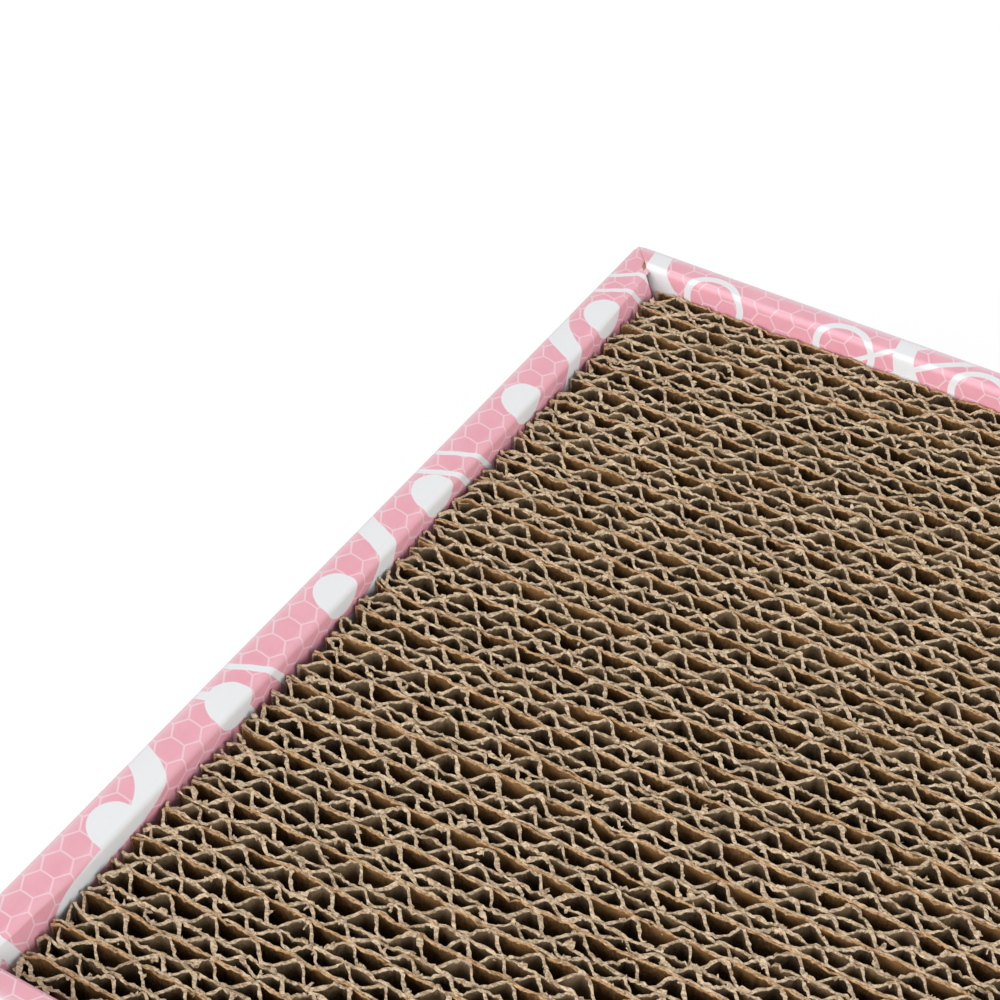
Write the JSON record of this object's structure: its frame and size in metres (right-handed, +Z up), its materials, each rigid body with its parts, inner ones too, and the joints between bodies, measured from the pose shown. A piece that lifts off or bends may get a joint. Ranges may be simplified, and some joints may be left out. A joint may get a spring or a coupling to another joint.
{
  "type": "cardboard cat scratcher",
  "caption": "Flat cat scratcher: a folded, printed tray with rolled double walls around a drop-in pad of corrugated strips glued on edge.",
  "frame": {"origin": "bottom centre of the tray, on the plane that it rests on", "axes": "+X along the tray's long sides, to the right end; +Y across it, to the back wall; +Z up, out of the tray"},
  "size_m": [0.43, 0.2144, 0.045],
  "materials": {
    "printed_board": "glossy laminated print, pink with a white net",
    "plain_board": "bare brown board, matte",
    "corrugated_kraft": "raw kraft paper with sawn, fibrous edges"
  },
  "bodies": {
    "tray": {"base_panel": "printed_board", "back_outer_wall": "printed_board", "back_rim": "printed_board", "back_inner_wall": "printed_board", "front_outer_wall": "printed_board", "front_rim": "printed_board", "front_inner_wall": "printed_board", "left_outer_wall": "printed_board", "left_rim": "printed_board", "left_inner_wall": "printed_board", "right_outer_wall": "printed_board", "right_rim": "printed_board", "right_inner_wall": "printed_board", "back_left_flap": "plain_board", "back_right_flap": "plain_board", "front_left_flap": "plain_board", "front_right_flap": "plain_board"},
    "pad": {"strip_01": "corrugated_kraft", "strip_02": "corrugated_kraft", "strip_03": "corrugated_kraft", "strip_04": "corrugated_kraft", "strip_05": "corrugated_kraft", "strip_06": "corrugated_kraft", "strip_07": "corrugated_kraft", "strip_08": "corrugated_kraft", "strip_09": "corrugated_kraft", "strip_10": "corrugated_kraft", "strip_11": "corrugated_kraft", "strip_12": "corrugated_kraft", "strip_13": "corrugated_kraft", "strip_14": "corrugated_kraft", "strip_15": "corrugated_kraft", "strip_16": "corrugated_kraft", "strip_17": "corrugated_kraft", "strip_18": "corrugated_kraft", "strip_19": "corrugated_kraft", "strip_20": "corrugated_kraft", "strip_21": "corrugated_kraft", "strip_22": "corrugated_kraft", "strip_23": "corrugated_kraft", "strip_24": "corrugated_kraft", "strip_25": "corrugated_kraft", "strip_26": "corrugated_kraft", "strip_27": "corrugated_kraft", "strip_28": "corrugated_kraft", "strip_29": "corrugated_kraft", "strip_30": "corrugated_kraft"}
  },
  "joints": [
    {"name": "pad_lift", "type": "slide", "parent": "tray", "child": "pad", "axis": [0, 0, 1], "range_m": [0, 0.06]}
  ]
}
